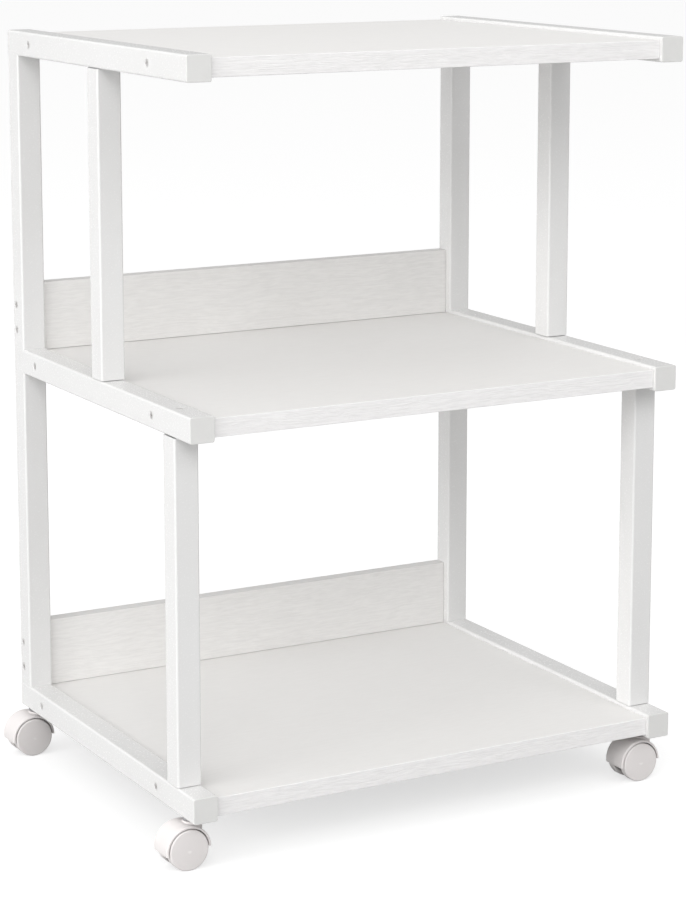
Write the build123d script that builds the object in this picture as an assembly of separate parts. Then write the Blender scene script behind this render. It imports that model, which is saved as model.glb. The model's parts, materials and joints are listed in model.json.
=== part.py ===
from build123d import *
from build123d.topology import SkipClean
import math
import os

# Mobile printer stand: two side frames of white square tube, three shelf boards, two low back
# boards and four hooded twin-wheel casters. Millimetres, +Z up, the open front faces -Y.
# The origin is on the floor, at the centre of the whole footprint with the casters trailing
# to the left. Everything is laid out about the middle of the frame and shifted there on export.

# Overall size
stand_width = 540.0
stand_depth = 420.0
caster_height = 50.0

# Square tube of the side frames
tube = 25.0
tube_wall = 1.2
tube_corner = 2.0
bottom_rail_z = caster_height
middle_rail_z = 412.0
top_rail_z = 740.0
lower_post_setback = 34.0
upper_post_setback = 196.0
post_seam = 0.6

# Shelf boards and back boards
board_thickness = 18.0
board_recess = (tube - board_thickness) / 2
board_front_setback = 4.0
board_rear_setback = 1.0
board_side_gap = 0.25
edge_band = 1.0
edge_band_round = 0.6
back_board_height = 71.0
back_board_thickness = 15.0
back_board_inset = 0.5
back_board_seam = 0.5

# Plastic end caps of the rails
cap_flange = 1.5
front_cap_plug_depth = 10.0
rear_cap_plug_depth = 4.0
cap_wall = 2.0
insert_gap = 0.1
cap_round = 0.6

# Countersunk screws, all with the same head
screw_radius = 2.0
screw_head_radius = 3.7
screw_head_sunk = 0.3
screw_clearance = 0.15
board_pilot_clearance = 0.05
screw_bite = 19.0
pilot_bite = 20.0
countersink_above = 0.5
cross_length = 4.0
cross_width = 0.9
cross_depth = 1.1
shelf_screw_front_y = -126.0
shelf_screw_rear_y = 155.5
back_screw_spacing = 26.5

# Threaded plugs and spigots inside the ends of the front posts
post_plug_depth = 12.0
spigot_depth = 20.0
spigot_wall = 2.0

# Casters: the swivel stem is at the caster's own origin and the wheels trail towards -X
front_caster_y = -179.5
rear_caster_y = stand_depth / 2 - tube / 2
caster_trail = 10.0
wheel_radius = 20.0
wheel_inner_face = 6.3
wheel_outer_face = 15.4
wheel_dome = 0.6
wheel_rim = 3.0
wheel_disc = 2.4
wheel_round = 1.6
wheel_inner_chamfer = 0.8
hub_radius = 6.0
axle_radius = 2.5
axle_half_length = 12.9
running_gap = 0.05
hood_inner_radius = 21.2
hood_outer_radius = 23.4
hood_half_width = 14.6
hood_lead_angle = 2.0
hood_trail_angle = 188.0
hood_round = 1.4
web_half_width = 1.5
boss_half_width = 5.9
join_overlap = 1.0
collar_radius = 9.5
collar_top_z = 44.8
collar_round = 1.0
socket_radius = 5.9
socket_bottom_z = 24.5
bore_bottom_z = 26.0
pin_bottom_z = 27.0
pin_radius = 3.9
ring_z = 29.0
ring_height = 1.0
ring_inner_radius = 3.25
ring_outer_radius = 4.6
ring_gap = 0.2
stem_hex_size = 17.0
stem_hex_z = 45.1
stem_hex_chamfer = 0.6
thread_radius = 3.95
thread_top_z = 63.0
nut_radius = 6.5
nut_height = 8.0

# Worked-out places
half_width = stand_width / 2
half_depth = stand_depth / 2
rail_x = half_width - tube / 2
inner_x = half_width - tube
rear_post_y = half_depth - tube / 2
lower_post_y = -half_depth + lower_post_setback + tube / 2
upper_post_y = -half_depth + upper_post_setback + tube / 2
rail_levels = {"bottom": bottom_rail_z, "middle": middle_rail_z, "top": top_rail_z}
sides = {"left": -1, "right": 1}
bore_size = tube - 2 * tube_wall
bore_corner = tube_corner - tube_wall
insert_size = bore_size - 2 * insert_gap
footprint_left = rail_x + caster_trail + hood_outer_radius
footprint_rear = rear_caster_y + wheel_outer_face + wheel_dome
shift = Pos((footprint_left - half_width) / 2, (half_depth - footprint_rear) / 2, 0)


def rounded_bar(size, corner, length):
    """A square bar with rounded corners, standing on the ground plane."""
    return extrude(RectangleRounded(size, size, corner), length)


def tube_outside(length):
    return rounded_bar(tube, tube_corner, length)


def tube_bore(length):
    return rounded_bar(bore_size, bore_corner, length)


def along_y(shape):
    """Lays a shape that stands along +Z down along +Y."""
    return Rot(-90, 0, 0) * shape


def cut_all(shape, cutters):
    for cutter in cutters:
        shape -= cutter
    return shape


def screw(length):
    """A countersunk screw pointing down from a surface at Z = 0."""
    head_height = screw_head_radius - screw_radius
    head = Cone(screw_radius, screw_head_radius, head_height)
    body = Pos(0, 0, -screw_head_sunk - head_height / 2) * head
    shank_length = length - screw_head_sunk - head_height
    body += Pos(0, 0, -length + shank_length / 2) * Cylinder(screw_radius, shank_length)
    for angle in (0, 90):
        slot = Box(cross_length, cross_width, 2 * cross_depth)
        body -= Pos(0, 0, -screw_head_sunk) * Rot(0, 0, angle) * slot
    return body


def screw_hole(length):
    """The matching countersink and clearance hole."""
    hole_radius = screw_radius + screw_clearance
    mouth_radius = screw_head_radius + screw_head_sunk + board_pilot_clearance
    depth = mouth_radius - hole_radius
    cone = Cone(hole_radius, mouth_radius + countersink_above, depth + countersink_above)
    hole = Pos(0, 0, (countersink_above - depth) / 2) * cone
    return hole + Pos(0, 0, -length / 2) * Cylinder(hole_radius, length)


def outward(side, y, z):
    """The place on a frame's outer face where a side screw starts, with +Z pointing out."""
    return Pos(side * half_width, y, z) * Rot(0, 90 * side, 0)


def shelf_screw_places(side, level_z):
    middle = level_z + tube / 2
    return [outward(side, y, middle) for y in (shelf_screw_front_y, shelf_screw_rear_y)]


def board_top(level_z):
    return level_z + tube - board_recess


def back_screw_places(side, level_z):
    middle = board_top(level_z) + back_board_height / 2
    y = half_depth - back_board_inset - back_board_thickness / 2
    steps = (-back_screw_spacing / 2, back_screw_spacing / 2)
    return [outward(side, y, middle + step) for step in steps]


def post_screw_places(side):
    """Upright screws, as (place, level of the rail they cross)."""
    x = side * rail_x
    return [
        (Pos(x, lower_post_y, middle_rail_z + tube), middle_rail_z),
        (Pos(x, lower_post_y, bottom_rail_z) * Rot(180, 0, 0), bottom_rail_z),
        (Pos(x, upper_post_y, middle_rail_z) * Rot(180, 0, 0), middle_rail_z),
    ]


def caster_places():
    return {
        "front_left": Pos(-rail_x, front_caster_y, 0),
        "front_right": Pos(rail_x, front_caster_y, 0),
        "rear_left": Pos(-rail_x, rear_caster_y, 0),
        "rear_right": Pos(rail_x, rear_caster_y, 0),
    }


def rail(side, name):
    """One rail from front to back. Its weld to the rear post is ground flush."""
    level_z = rail_levels[name]
    x = side * rail_x
    start = Pos(x, -half_depth + cap_flange, level_z + tube / 2)
    if name == "middle":
        length = stand_depth - cap_flange - tube
        body = start * along_y(tube_outside(length + tube_corner))
        post_ends = tube_outside(2 * tube)
        body -= Pos(x, rear_post_y, level_z - tube / 2) * post_ends
    else:
        length = stand_depth - 2 * cap_flange
        body = start * along_y(tube_outside(length))
        inner_face = level_z + tube - tube_corner if name == "bottom" else level_z
        body += Pos(x, rear_post_y, inner_face) * tube_outside(tube_corner)
        body -= Pos(x, half_depth, level_z) * Box(2 * tube, 2 * cap_flange, 4 * tube)
    body -= start * along_y(tube_bore(length + tube_corner))
    body = cut_all(body, [p * screw_hole(2 * tube) for p in shelf_screw_places(side, level_z)])
    for place, crossed in post_screw_places(side):
        if crossed == level_z:
            body -= place * screw_hole(2 * tube)
    if name == "bottom":
        stem_hole = Cylinder(thread_radius + screw_clearance, tube)
        for y in (front_caster_y, rear_caster_y):
            body -= Pos(x, y, level_z) * stem_hole
    return body


def rear_post(side):
    """The rear post stands between the bottom and top rails."""
    foot = bottom_rail_z + tube
    length = top_rail_z - foot
    post = tube_outside(length) - tube_bore(length)
    post = Pos(side * rail_x, rear_post_y, foot) * post
    for level in ("bottom", "middle"):
        places = back_screw_places(side, rail_levels[level])
        post = cut_all(post, [place * screw_hole(2 * tube) for place in places])
    return post


def front_post(side, y, low_z, high_z):
    """A bolted front post, with a fine seam to the rails at both ends."""
    length = high_z - low_z - 2 * post_seam
    return Pos(side * rail_x, y, low_z + post_seam) * (tube_outside(length) - tube_bore(length))


def end_cap(plug_depth):
    """A moulded cap: the flange closes the tube at Z = 0 and the plug goes up into the tube."""
    flange = rounded_bar(tube, tube_corner, cap_flange)
    flange = fillet(flange.faces().sort_by(Axis.Z)[0].edges(), cap_round)
    plug = rounded_bar(insert_size, bore_corner, plug_depth)
    plug -= rounded_bar(insert_size - 2 * cap_wall, bore_corner, plug_depth)
    return flange + Pos(0, 0, cap_flange) * plug


def front_caps():
    cap = along_y(end_cap(front_cap_plug_depth))
    levels = rail_levels.values()
    return [
        Pos(side * rail_x, -half_depth, z + tube / 2) * cap
        for side in sides.values()
        for z in levels
    ]


def rear_caps():
    cap = Rot(90, 0, 0) * end_cap(rear_cap_plug_depth)
    levels = (bottom_rail_z, top_rail_z)
    return [
        Pos(side * rail_x, half_depth, z + tube / 2) * cap
        for side in sides.values()
        for z in levels
    ]


def board_pilot():
    """The hole for a board screw, along Z through the frame's outer face."""
    return Cylinder(screw_radius + board_pilot_clearance, 2 * (tube + pilot_bite))


def board_piece(front, rear, level_z):
    """The stretch of a shelf board from front to rear, drilled for its screws."""
    width = 2 * (inner_x - board_side_gap)
    middle_z = level_z + tube / 2
    board = Pos(0, (front + rear) / 2, middle_z) * Box(width, rear - front, board_thickness)
    places = [place for side in sides.values() for place in shelf_screw_places(side, level_z)]
    return cut_all(board, [place * board_pilot() for place in places])


def shelf(level_z):
    """A shelf board without its edge bands.

    Under a back board the strip that it covers stays a face of its own, so the clear face in
    front of it has the outline that something standing on the shelf can use."""
    front = -half_depth + board_front_setback + edge_band
    rear = half_depth - board_rear_setback - edge_band
    if level_z == top_rail_z:
        return board_piece(front, rear, level_z)
    clear_rear = half_depth - back_board_inset - back_board_thickness
    with SkipClean():
        board = board_piece(front, clear_rear, level_z) + board_piece(clear_rear, rear, level_z)
    return board


def shelf_bands(level_z):
    """The bands glued to a board's front and rear edges."""
    width = 2 * (inner_x - board_side_gap)
    band = Box(width, edge_band, board_thickness)
    band = fillet(band.faces().sort_by(Axis.Y)[0].edges().filter_by(Axis.X), edge_band_round)
    front = -half_depth + board_front_setback + edge_band / 2
    rear = half_depth - board_rear_setback - edge_band / 2
    middle_z = level_z + tube / 2
    return [Pos(0, front, middle_z) * band, Pos(0, rear, middle_z) * Rot(0, 0, 180) * band]


def back_board(level_z):
    """A low board behind a shelf, held by the rear posts, with a fine seam above the shelf."""
    width = 2 * (inner_x - board_side_gap)
    board = Box(width, back_board_thickness, back_board_height - back_board_seam)
    y = half_depth - back_board_inset - back_board_thickness / 2
    board = Pos(0, y, board_top(level_z) + (back_board_height + back_board_seam) / 2) * board
    places = [place for side in sides.values() for place in back_screw_places(side, level_z)]
    return cut_all(board, [place * board_pilot() for place in places])


def shelf_screws():
    one = screw(tube + screw_bite)
    return [
        place * one
        for side in sides.values()
        for z in rail_levels.values()
        for place in shelf_screw_places(side, z)
    ]


def back_board_screws():
    one = screw(tube + screw_bite)
    return [
        place * one
        for side in sides.values()
        for z in (bottom_rail_z, middle_rail_z)
        for place in back_screw_places(side, z)
    ]


def post_screws():
    one = screw(tube + post_plug_depth)
    return [place * one for side in sides.values() for place, _ in post_screw_places(side)]


def post_plugs():
    """Threaded plugs pressed into the post ends that take a screw."""
    plug = rounded_bar(insert_size, bore_corner, post_plug_depth)
    thread = Cylinder(screw_radius + board_pilot_clearance, post_plug_depth)
    plug -= Pos(0, 0, post_plug_depth / 2) * thread
    feet = [
        (lower_post_y, bottom_rail_z + tube + post_seam),
        (lower_post_y, middle_rail_z - post_seam - post_plug_depth),
        (upper_post_y, middle_rail_z + tube + post_seam),
    ]
    return [Pos(side * rail_x, y, z) * plug for side in sides.values() for y, z in feet]


def post_spigots():
    """Hollow spigots under the top rails, which the upper front posts slip over."""
    spigot = rounded_bar(insert_size, bore_corner, spigot_depth)
    spigot -= rounded_bar(insert_size - 2 * spigot_wall, bore_corner, spigot_depth)
    foot = top_rail_z - spigot_depth
    return [Pos(side * rail_x, upper_post_y, foot) * spigot for side in sides.values()]


def caster_nuts():
    """Flanged nuts fixed inside the bottom rails, which the caster stems screw into."""
    nut = Cylinder(nut_radius, nut_height) - Cylinder(thread_radius + running_gap, nut_height)
    seat = bottom_rail_z + tube_wall + nut_height / 2
    return [place * Pos(0, 0, seat) * nut for place in caster_places().values()]


def upright(radius, low_z, high_z):
    return Pos(0, 0, (low_z + high_z) / 2) * Cylinder(radius, high_z - low_z)


def across(radius, low_y, high_y):
    """A round bar along Y through the axle line."""
    bar = Rot(90, 0, 0) * Cylinder(radius, high_y - low_y)
    return Pos(-caster_trail, (low_y + high_y) / 2, wheel_radius) * bar


def caster_stem():
    """The steel stem: swivel pin with a ring groove, hexagon for a spanner and threaded end."""
    hexagon = RegularPolygon(stem_hex_size / 2, 6, major_radius=False)
    hexagon = extrude(hexagon, bottom_rail_z - stem_hex_z)
    hexagon = chamfer(hexagon.edges().filter_by(Axis.Z, reverse=True), stem_hex_chamfer)
    stem = Pos(0, 0, stem_hex_z) * hexagon
    stem += upright(pin_radius, pin_bottom_z, stem_hex_z)
    stem += upright(thread_radius, bottom_rail_z, thread_top_z)
    groove = upright(ring_outer_radius, ring_z, ring_z + ring_height)
    groove -= upright(ring_inner_radius, ring_z, ring_z + ring_height)
    return stem - groove


def retaining_rings():
    """Rings in the stem grooves that keep the hoods on."""
    low = ring_z + running_gap
    high = ring_z + ring_height - running_gap
    ring = upright(ring_outer_radius, low, high) - upright(ring_inner_radius + running_gap, low, high)
    return [place * ring for place in caster_places().values()]


def hood_sector(radius):
    """A pie slice about the axle line, as wide as the hood's arch."""
    sweep = hood_trail_angle - hood_lead_angle
    arc = CenterArc((0, 0), radius, hood_lead_angle, sweep)
    return make_face([arc, Line(arc @ 1, (0, 0)), Line((0, 0), arc @ 0)])


def caster_hood():
    """The swivelling hood: an arched cover, a thin web with an axle boss, and a stem socket."""
    cover = hood_sector(hood_outer_radius) - Circle(hood_inner_radius)
    cover = extrude(cover, hood_half_width, both=True)
    arches = cover.edges().filter_by(GeomType.CIRCLE)
    outer_arches = arches.filter_by(lambda edge: edge.radius > hood_inner_radius + running_gap)
    cover = fillet(outer_arches, hood_round)
    web = extrude(hood_sector(hood_inner_radius + join_overlap), web_half_width, both=True)
    boss = extrude(Circle(hub_radius), boss_half_width, both=True)
    hood = Pos(-caster_trail, 0, wheel_radius) * Rot(90, 0, 0) * (cover + web + boss)
    collar = upright(collar_radius, wheel_radius, collar_top_z)
    collar = fillet(collar.faces().sort_by(Axis.Z)[-1].edges(), collar_round)
    hood += collar - across(hood_inner_radius + join_overlap / 2, -collar_radius, collar_radius)
    hood += upright(socket_radius, socket_bottom_z, collar_top_z - collar_round)
    hood -= upright(pin_radius + running_gap, bore_bottom_z, stem_hex_z)
    hood -= upright(ring_outer_radius + ring_gap, ring_z - ring_gap, ring_z + ring_height + ring_gap)
    hood -= across(axle_radius + running_gap, -hub_radius, hub_radius)
    return hood


def caster_wheel(side):
    """A cup-shaped wheel with a plain domed outer face; side is -1 for front, 1 for back."""
    rim_x = wheel_radius - wheel_round
    edge_y = wheel_outer_face - wheel_round
    top_y = wheel_outer_face + wheel_dome
    dome_radius = (rim_x**2 + wheel_dome**2) / (2 * wheel_dome)
    rim_angle = math.degrees(math.acos(rim_x / dome_radius))
    dome = CenterArc((0, top_y - dome_radius), dome_radius, rim_angle, 90 - rim_angle)
    shoulder = RadiusArc((wheel_radius, edge_y), (rim_x, wheel_outer_face), -wheel_round)
    disc_y = wheel_outer_face - wheel_disc
    inner = Polyline(
        (0, top_y),
        (0, axle_half_length + running_gap),
        (axle_radius, axle_half_length + running_gap),
        (axle_radius, wheel_inner_face),
        (hub_radius, wheel_inner_face),
        (hub_radius, disc_y),
        (wheel_radius - wheel_rim, disc_y),
        (wheel_radius - wheel_rim, wheel_inner_face),
        (wheel_radius - wheel_inner_chamfer, wheel_inner_face),
        (wheel_radius, wheel_inner_face + wheel_inner_chamfer),
        (wheel_radius, edge_y),
    )
    wheel = revolve(make_face([inner, shoulder, dome]), Axis.Y)
    wheel = Pos(-caster_trail, 0, wheel_radius) * wheel
    return wheel if side > 0 else Rot(180, 0, 0) * Pos(0, 0, -2 * wheel_radius) * wheel


def caster_axle():
    return across(axle_radius, -axle_half_length, axle_half_length)


def save(name, shapes):
    """Writes one node, moved to the common origin; a list becomes one node of loose solids."""
    solids = [solid for shape in shapes for solid in shape.solids()]
    moved = [shift * solid for solid in solids]
    whole = moved[0] if len(moved) == 1 else Compound(children=moved)
    export_step(whole, os.path.join("parts", name + ".step"))


def main():
    os.makedirs("parts", exist_ok=True)
    for side_name, side in sides.items():
        save(f"{side_name}_rear_post", [rear_post(side)])
        for level in rail_levels:
            save(f"{side_name}_{level}_rail", [rail(side, level)])
        lower = front_post(side, lower_post_y, bottom_rail_z + tube, middle_rail_z)
        upper = front_post(side, upper_post_y, middle_rail_z + tube, top_rail_z)
        save(f"{side_name}_lower_front_post", [lower])
        save(f"{side_name}_upper_front_post", [upper])
    for level, z in rail_levels.items():
        save(f"{level}_shelf", [shelf(z)])
        save(f"{level}_shelf_edge_bands", shelf_bands(z))
        if level != "top":
            save(f"{level}_back_board", [back_board(z)])
    save("rail_front_caps", front_caps())
    save("rail_rear_caps", rear_caps())
    save("shelf_screws", shelf_screws())
    save("back_board_screws", back_board_screws())
    save("post_screws", post_screws())
    save("post_threaded_plugs", post_plugs())
    save("upper_post_spigots", post_spigots())
    save("caster_nuts", caster_nuts())
    save("caster_retaining_rings", retaining_rings())
    pieces = {
        "stem": caster_stem(),
        "hood": caster_hood(),
        "axle": caster_axle(),
        "front_wheel": caster_wheel(-1),
        "back_wheel": caster_wheel(1),
    }
    for corner, place in caster_places().items():
        for piece, shape in pieces.items():
            save(f"{corner}_caster_{piece}", [place * shape])


main()
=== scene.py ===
import json
import math

import bpy
from mathutils import Euler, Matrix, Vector


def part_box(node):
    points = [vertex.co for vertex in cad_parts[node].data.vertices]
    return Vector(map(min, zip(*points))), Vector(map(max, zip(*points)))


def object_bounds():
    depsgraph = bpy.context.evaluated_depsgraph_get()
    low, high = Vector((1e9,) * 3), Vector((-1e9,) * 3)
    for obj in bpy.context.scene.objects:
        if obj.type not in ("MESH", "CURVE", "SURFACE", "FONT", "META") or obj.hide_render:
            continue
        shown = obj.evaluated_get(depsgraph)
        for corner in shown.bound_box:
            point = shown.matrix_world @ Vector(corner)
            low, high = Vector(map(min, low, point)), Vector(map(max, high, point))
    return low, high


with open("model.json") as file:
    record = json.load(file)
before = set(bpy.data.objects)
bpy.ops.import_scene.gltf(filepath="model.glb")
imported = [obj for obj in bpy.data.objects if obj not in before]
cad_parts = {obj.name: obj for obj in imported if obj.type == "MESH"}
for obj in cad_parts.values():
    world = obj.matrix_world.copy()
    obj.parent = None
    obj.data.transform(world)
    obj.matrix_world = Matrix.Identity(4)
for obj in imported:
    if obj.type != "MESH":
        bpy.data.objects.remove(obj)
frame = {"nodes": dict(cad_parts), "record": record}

# The looks of a white mobile printer stand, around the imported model. Metres, +Z up, the open
# front faces -Y, and the object stands on the floor at Z = 0.

cad_low, cad_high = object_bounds()

# Camera, at a three-quarter view from the front left. Its place is measured from the middle of
# the frame at floor height, and its angles are in degrees.
CAMERA_PLACE = (-1.2950, -2.3427, 0.9290)
CAMERA_PITCH = -9.932
CAMERA_YAW = -29.023
CAMERA_LENS = 106.6
CAMERA_SHIFT_Y = -0.13
CAMERA_REACH = 200.0

# Sky: how bright the camera sees it, how strongly it lights, and how strongly it lights in two
# duller patches, behind the object and before it. The last two numbers are the cosines at which
# a patch starts to show and is full.
SKY_SEEN = 1.0
SKY_LIGHT = 0.7
PATCH_LIGHT = 0.45
PATCH_WAY = (0.48, 0.87, 0.0)
PATCH_START = 0.65
PATCH_FULL = 0.95

# Floor: its size, its own tone, and the glow that only the camera sees
FLOOR_SIDE = 120.0
FLOOR_TONE = 0.5
FLOOR_GLOW = 0.62

# Most of a noise texture's values lie between these two
NOISE_RANGE = (0.3, 0.7)

# Paint: its two tones, the tone and the extra gloss of its edges, and its orange peel
PAINT_LIGHT = (0.79, 0.787, 0.783)
PAINT_DARK = (0.765, 0.762, 0.755)
PAINT_EDGE = (0.75, 0.748, 0.745)
PAINT_ROUGHNESS = (0.24, 0.28)
PAINT_EDGE_GLOSS = 0.04
PAINT_EDGE_REACH = 0.0012
PAINT_CLOUD_SCALE = 9.0
PAINT_PEEL_SCALE = 620.0
PAINT_PEEL_DEPTH = 0.000006

# The cosine between an edge's rounded and flat normals, where the edge starts and is full
EDGE_RANGE = (0.995, 0.9)

# Foil of the boards: its two tones, the painted shade on the back boards' upper edges, and the
# depth and fineness of its grain
FOIL_LIGHT = (0.86, 0.85, 0.836)
FOIL_DARK = (0.80, 0.79, 0.777)
BACK_BOARD_PAINTED_SHADE = (0.77, 0.76, 0.75)
FOIL_DEPTH = 0.0004
FOIL_FINENESS = 420.0

# Wood grain: how it sways, the scale of its strokes and fine lines and how the two mix, how
# faint it is on flat surfaces, and how rough it is from its hollows to its ridges
SWAY_SCALE = (9.0, 20.0, 20.0)
SWAY_REACH = 0.016
STROKE_SCALE = 55.0
STROKE_SHARE = 0.6
LINE_SCALE = 16.0
LINE_SHARE = 0.4
LINE_FINENESS = 2.2
FLAT_GRAIN = 0.35
GRAIN_ROUGHNESS = (0.74, 0.64)
GRAIN_SPECULAR = 0.25

# Moulded plastic and plated steel
PLASTIC_CLOUD_SCALE = 40.0
SPARK_SCALE = 1800.0
SPARK_DEPTH = 0.00002
PLATING_SCALE = 500.0
PLATING_DEPTH = 0.00001


# ---------------------------------------------------------------- node helpers
def plug(tree, value, socket):
    """The socket takes a link from another socket, or a plain number."""
    if isinstance(value, (int, float)):
        socket.default_value = value
    else:
        tree.links.new(value, socket)


class Shader:
    """A new material whose Principled shader is wired up one socket at a time."""

    def __init__(self, name):
        self.material = bpy.data.materials.new(name)
        self.material.use_nodes = True
        self.tree = self.material.node_tree
        self.surface = self.tree.nodes["Principled BSDF"]
        self.position = self.add("ShaderNodeTexCoord").outputs["Object"]

    def add(self, kind, **settings):
        node = self.tree.nodes.new(kind)
        for key, value in settings.items():
            setattr(node, key, value)
        return node

    def link(self, source, target):
        self.tree.links.new(source, target)

    def feed(self, socket_name, source):
        self.link(source, self.surface.inputs[socket_name])

    def set(self, socket_name, value):
        self.surface.inputs[socket_name].default_value = value

    def stretched(self, vector, scale):
        """The vector times a scale of its own along each axis."""
        node = self.add("ShaderNodeVectorMath", operation="MULTIPLY")
        self.link(vector, node.inputs[0])
        node.inputs[1].default_value = scale
        return node.outputs["Vector"]

    def noise(self, vector, scale, detail=2.0, roughness=0.5):
        node = self.add("ShaderNodeTexNoise")
        node.inputs["Scale"].default_value = scale
        node.inputs["Detail"].default_value = detail
        node.inputs["Roughness"].default_value = roughness
        self.link(vector, node.inputs["Vector"])
        return node.outputs["Fac"]

    def spread(self, value, low, high, new_low=0.0, new_high=1.0):
        """The value's range from low to high becomes new_low to new_high."""
        node = self.add("ShaderNodeMapRange")
        for socket, number in zip(node.inputs[1:5], (low, high, new_low, new_high)):
            socket.default_value = number
        self.link(value, node.inputs["Value"])
        return node.outputs["Result"]

    def math(self, operation, first, second):
        """Two values combined; the second may be a plain number."""
        node = self.add("ShaderNodeMath", operation=operation)
        self.link(first, node.inputs[0])
        plug(self.tree, second, node.inputs[1])
        return node.outputs["Value"]

    def blend(self, factor, first, second):
        """A colour between first and second, each a colour or another blend."""
        node = self.add("ShaderNodeMix", data_type="RGBA")
        for socket_name, colour in (("A", first), ("B", second)):
            if isinstance(colour, tuple):
                node.inputs[socket_name].default_value = (*colour, 1)
            else:
                self.link(colour, node.inputs[socket_name])
        self.link(factor, node.inputs["Factor"])
        return node.outputs["Result"]

    def bump(self, height, depth):
        node = self.add("ShaderNodeBump")
        node.inputs["Distance"].default_value = depth
        self.link(height, node.inputs["Height"])
        self.feed("Normal", node.outputs["Normal"])

    def clouds(self, scale):
        """Soft patches from 0 to 1."""
        return self.spread(self.noise(self.position, scale, detail=3.0), *NOISE_RANGE)

    def flatness(self):
        """1 on a surface that faces straight up or down, 0 on an upright one."""
        facing = self.add("ShaderNodeSeparateXYZ")
        self.link(self.add("ShaderNodeNewGeometry").outputs["Normal"], facing.inputs["Vector"])
        return self.math("ABSOLUTE", facing.outputs["Z"], 0.0)

    def edges(self, reach):
        """1 on edges and corners, falling to 0 at the reach from them."""
        rounded = self.add("ShaderNodeBevel", samples=6)
        rounded.inputs["Radius"].default_value = reach
        flat = self.add("ShaderNodeNewGeometry")
        dot = self.add("ShaderNodeVectorMath", operation="DOT_PRODUCT")
        self.link(rounded.outputs["Normal"], dot.inputs[0])
        self.link(flat.outputs["Normal"], dot.inputs[1])
        return self.spread(dot.outputs["Value"], *EDGE_RANGE)


# ---------------------------------------------------------------- finishes
def painted_steel():
    """White powder coat: a fine orange peel, and edges a little greyer and glossier."""
    shader = Shader("white_powder_coat")
    colour = shader.blend(shader.clouds(PAINT_CLOUD_SCALE), PAINT_DARK, PAINT_LIGHT)
    edges = shader.edges(PAINT_EDGE_REACH)
    shader.feed("Base Color", shader.blend(edges, colour, PAINT_EDGE))
    peel = shader.noise(shader.position, PAINT_PEEL_SCALE, detail=2.0, roughness=0.55)
    rough = shader.spread(peel, *NOISE_RANGE, *PAINT_ROUGHNESS)
    gloss = shader.math("MULTIPLY", edges, PAINT_EDGE_GLOSS)
    shader.feed("Roughness", shader.math("SUBTRACT", rough, gloss))
    shader.bump(peel, PAINT_PEEL_DEPTH)
    return shader.material


def wood_grain(shader, fineness):
    """Wood grain that runs along X: long strokes with finer lines between them."""
    sway = shader.noise(shader.stretched(shader.position, SWAY_SCALE), 1.0, detail=3.0)
    bend = shader.add("ShaderNodeVectorMath", operation="MULTIPLY_ADD")
    shader.link(sway, bend.inputs[0])
    bend.inputs[1].default_value = (0.0, SWAY_REACH, SWAY_REACH)
    shader.link(shader.position, bend.inputs[2])
    bent = bend.outputs["Vector"]
    line_fineness = LINE_FINENESS * fineness
    stroke_place = shader.stretched(bent, (STROKE_SCALE, fineness, fineness))
    line_place = shader.stretched(bent, (LINE_SCALE, line_fineness, line_fineness))
    strokes = shader.noise(stroke_place, 1.0, detail=3.0, roughness=0.6)
    lines = shader.noise(line_place, 1.0)
    stroke_part = shader.math("MULTIPLY", strokes, STROKE_SHARE)
    line_part = shader.math("MULTIPLY", lines, LINE_SHARE)
    return shader.math("ADD", stroke_part, line_part)


def grained_foil(name, light, dark, depth, fineness, painted_top_shade=None):
    """White foil with an embossed wood grain, fainter on flat surfaces.

    A top shade colour is painted shade, darkening a board's faces that face up or down.
    """
    shader = Shader(name)
    grain = wood_grain(shader, fineness)
    flatness = shader.flatness()
    strength = shader.spread(flatness, 0.2, 0.9, 1.0, FLAT_GRAIN)
    relief = shader.math("MULTIPLY", shader.math("SUBTRACT", grain, 0.5), strength)
    colour = shader.blend(shader.spread(relief, -0.12, 0.12), dark, light)
    if painted_top_shade:
        # Painted shade: the faces that face up or down take the darker top colour
        colour = shader.blend(shader.spread(flatness, 0.7, 0.95), colour, painted_top_shade)
    shader.feed("Base Color", colour)
    shader.feed("Roughness", shader.spread(relief, -0.15, 0.15, *GRAIN_ROUGHNESS))
    shader.set("Specular IOR Level", GRAIN_SPECULAR)
    shader.bump(relief, depth)
    return shader.material


def moulded_plastic(name, light, dark, roughness):
    """Moulded plastic with a fine spark-eroded texture."""
    shader = Shader(name)
    shader.feed("Base Color", shader.blend(shader.clouds(PLASTIC_CLOUD_SCALE), dark, light))
    spark = shader.noise(shader.position, SPARK_SCALE, detail=2.0, roughness=0.6)
    rough = shader.spread(spark, *NOISE_RANGE, roughness - 0.05, roughness + 0.05)
    shader.feed("Roughness", rough)
    shader.bump(spark, SPARK_DEPTH)
    return shader.material


def plated_steel(name, light, dark, roughness):
    """Zinc-plated steel with a patchy tone and gloss."""
    shader = Shader(name)
    patch = shader.clouds(PLATING_SCALE)
    shader.feed("Base Color", shader.blend(patch, dark, light))
    shader.feed("Roughness", shader.spread(patch, 0.0, 1.0, roughness - 0.06, roughness + 0.08))
    shader.set("Metallic", 1.0)
    shader.bump(patch, PLATING_DEPTH)
    return shader.material


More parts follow.
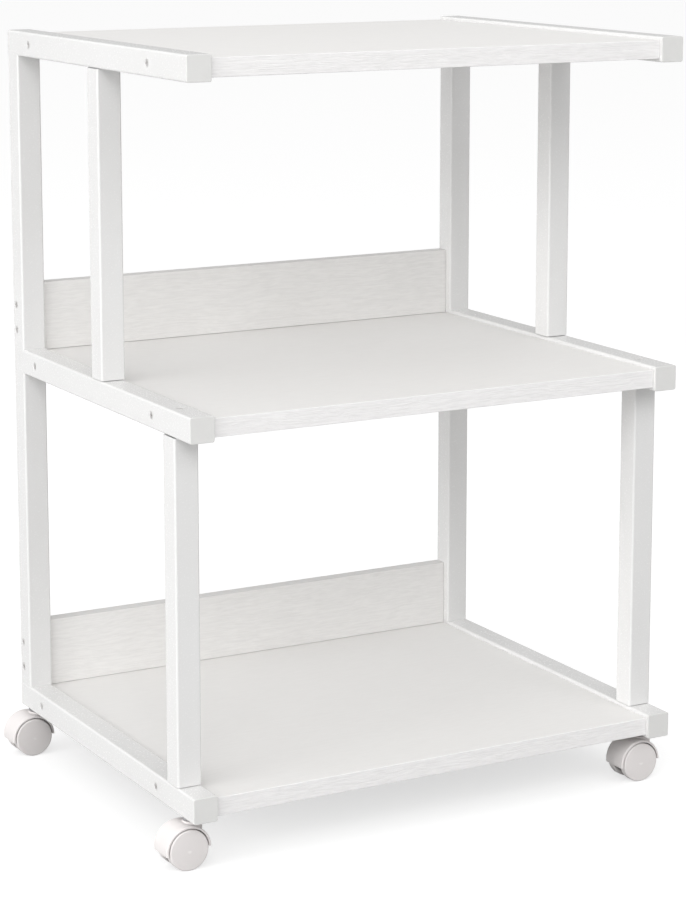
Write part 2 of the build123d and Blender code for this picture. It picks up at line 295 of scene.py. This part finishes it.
def make_finishes():
    """One finish for each of the record's material slots."""
    return {
        "frame_paint": painted_steel(),
        "shelf_foil": grained_foil(
            "white_foil", FOIL_LIGHT, FOIL_DARK, depth=FOIL_DEPTH, fineness=FOIL_FINENESS
        ),
        "edge_band": grained_foil(
            "white_edge_band",
            light=(0.915, 0.905, 0.902),
            dark=(0.835, 0.825, 0.822),
            depth=0.0006,
            fineness=560.0,
        ),
        "cap_plastic": moulded_plastic(
            "white_cap_plastic",
            light=(0.75, 0.748, 0.735),
            dark=(0.73, 0.728, 0.715),
            roughness=0.36,
        ),
        "screw_steel": plated_steel(
            "screw_plating", light=(0.92, 0.91, 0.90), dark=(0.80, 0.79, 0.78), roughness=0.5
        ),
        "zinc_steel": plated_steel(
            "zinc_plating", light=(0.5, 0.5, 0.51), dark=(0.36, 0.36, 0.37), roughness=0.34
        ),
        "caster_plastic": moulded_plastic(
            "caster_plastic",
            light=(0.80, 0.767, 0.758),
            dark=(0.78, 0.747, 0.738),
            roughness=0.55,
        ),
    }


def dress_nodes():
    """Every node takes its slot's finish, and a back board the foil with painted shade on its
    top.
    """
    finishes = make_finishes()
    # The back boards' foil, with painted shade on its faces that face up or down
    back_board_foil = grained_foil(
        "white_back_board_foil_painted_shade",
        FOIL_LIGHT,
        FOIL_DARK,
        depth=FOIL_DEPTH,
        fineness=FOIL_FINENESS,
        painted_top_shade=BACK_BOARD_PAINTED_SHADE,
    )
    for part in frame["record"]["subparts"]:
        finish = finishes[part["material_slot"]]
        if part["node"].endswith("_back_board"):
            finish = back_board_foil
        mesh = frame["nodes"][part["node"]].data
        mesh.materials.clear()
        mesh.materials.append(finish)


# ---------------------------------------------------------------- studio
def seen_only(tree, unseen, seen):
    """A level for what the camera sees directly, and another for the light it gives."""
    ray = tree.nodes.new("ShaderNodeLightPath")
    level = tree.nodes.new("ShaderNodeMapRange")
    plug(tree, unseen, level.inputs["To Min"])
    plug(tree, seen, level.inputs["To Max"])
    tree.links.new(ray.outputs["Is Camera Ray"], level.inputs["Value"])
    return level.outputs["Result"]


def make_floor():
    """A pale floor that looks white to the camera and keeps only a faint shadow."""
    half = FLOOR_SIDE / 2
    mesh = bpy.data.meshes.new("floor")
    corners = [(-half, -half, 0), (half, -half, 0), (half, half, 0), (-half, half, 0)]
    mesh.from_pydata(corners, [], [(0, 1, 2, 3)])
    floor = bpy.data.objects.new("floor", mesh)
    bpy.context.scene.collection.objects.link(floor)
    paper = bpy.data.materials.new("floor_paper")
    paper.use_nodes = True
    surface = paper.node_tree.nodes["Principled BSDF"]
    surface.inputs["Base Color"].default_value = (FLOOR_TONE, FLOOR_TONE, FLOOR_TONE, 1)
    surface.inputs["Roughness"].default_value = 1.0
    surface.inputs["Specular IOR Level"].default_value = 0.0
    surface.inputs["Emission Color"].default_value = (1, 1, 1, 1)
    glow = seen_only(paper.node_tree, 0.0, FLOOR_GLOW)
    paper.node_tree.links.new(glow, surface.inputs["Emission Strength"])
    mesh.materials.append(paper)


def make_world():
    """A white sky with its two duller patches. It looks whiter than it lights."""
    world = bpy.data.worlds.new("studio")
    world.use_nodes = True
    tree = world.node_tree
    background = tree.nodes["Background"]
    background.inputs["Color"].default_value = (1, 1, 1, 1)
    toward = tree.nodes.new("ShaderNodeVectorMath")
    toward.operation = "DOT_PRODUCT"
    direction = tree.nodes.new("ShaderNodeTexCoord").outputs["Generated"]
    tree.links.new(direction, toward.inputs[0])
    toward.inputs[1].default_value = PATCH_WAY
    both_ways = tree.nodes.new("ShaderNodeMath")
    both_ways.operation = "ABSOLUTE"
    tree.links.new(toward.outputs["Value"], both_ways.inputs[0])
    light = tree.nodes.new("ShaderNodeMapRange")
    light.interpolation_type = "SMOOTHSTEP"
    light.inputs["From Min"].default_value = PATCH_START
    light.inputs["From Max"].default_value = PATCH_FULL
    light.inputs["To Min"].default_value = SKY_LIGHT
    light.inputs["To Max"].default_value = PATCH_LIGHT
    tree.links.new(both_ways.outputs["Value"], light.inputs["Value"])
    level = seen_only(tree, light.outputs["Result"], SKY_SEEN)
    tree.links.new(level, background.inputs["Strength"])
    bpy.context.scene.world = world


def add_panel(name, offset, width, height, power):
    """A soft rectangular light at an offset from the object's centre, aimed at the centre."""
    lamp = bpy.data.lights.new(name, "AREA")
    lamp.shape = "RECTANGLE"
    lamp.size = width
    lamp.size_y = height
    lamp.energy = power
    panel = bpy.data.objects.new(name, lamp)
    panel.location = (cad_low + cad_high) / 2 + Vector(offset)
    panel.rotation_euler = (-Vector(offset)).to_track_quat("-Z", "Y").to_euler()
    panel.visible_camera = False
    bpy.context.scene.collection.objects.link(panel)


def make_lights():
    """Four large panels on the left and in front, and two weak strips; powers are in watts."""
    add_panel("side_panel", (-6.0, -0.6, 1.0), width=3.0, height=3.0, power=150)
    add_panel("key_panel", (-4.5, -2.5, 3.5), width=3.0, height=3.0, power=58)
    add_panel("front_panel", (1.0, -5.0, 3.5), width=3.0, height=3.0, power=42)
    add_panel("front_left_panel", (-3.0, -5.0, 3.5), width=3.0, height=3.0, power=112)
    add_panel("arris_strip", (-2.1, -1.2, 0.2), width=0.3, height=1.8, power=3)
    add_panel("top_strip", (0.3, -0.5, 1.9), width=2.4, height=0.25, power=2.5)


def make_camera():
    """The camera, placed from the middle between the two bottom rails, at floor height."""
    corners = [*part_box("left_bottom_rail"), *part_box("right_bottom_rail")]
    middle = sum((Vector(corner) for corner in corners), Vector()) / len(corners)
    middle.z = 0.0
    lens = bpy.data.cameras.new("camera")
    lens.lens = CAMERA_LENS
    lens.shift_y = CAMERA_SHIFT_Y
    lens.clip_end = CAMERA_REACH
    camera = bpy.data.objects.new("camera", lens)
    camera.location = middle + Vector(CAMERA_PLACE)
    camera.rotation_euler = Euler(
        (math.radians(90 + CAMERA_PITCH), 0, math.radians(CAMERA_YAW))
    )
    bpy.context.scene.collection.objects.link(camera)
    bpy.context.scene.camera = camera


dress_nodes()
make_floor()
make_world()
make_lights()
make_camera()
bpy.context.scene.view_settings.view_transform = "Standard"
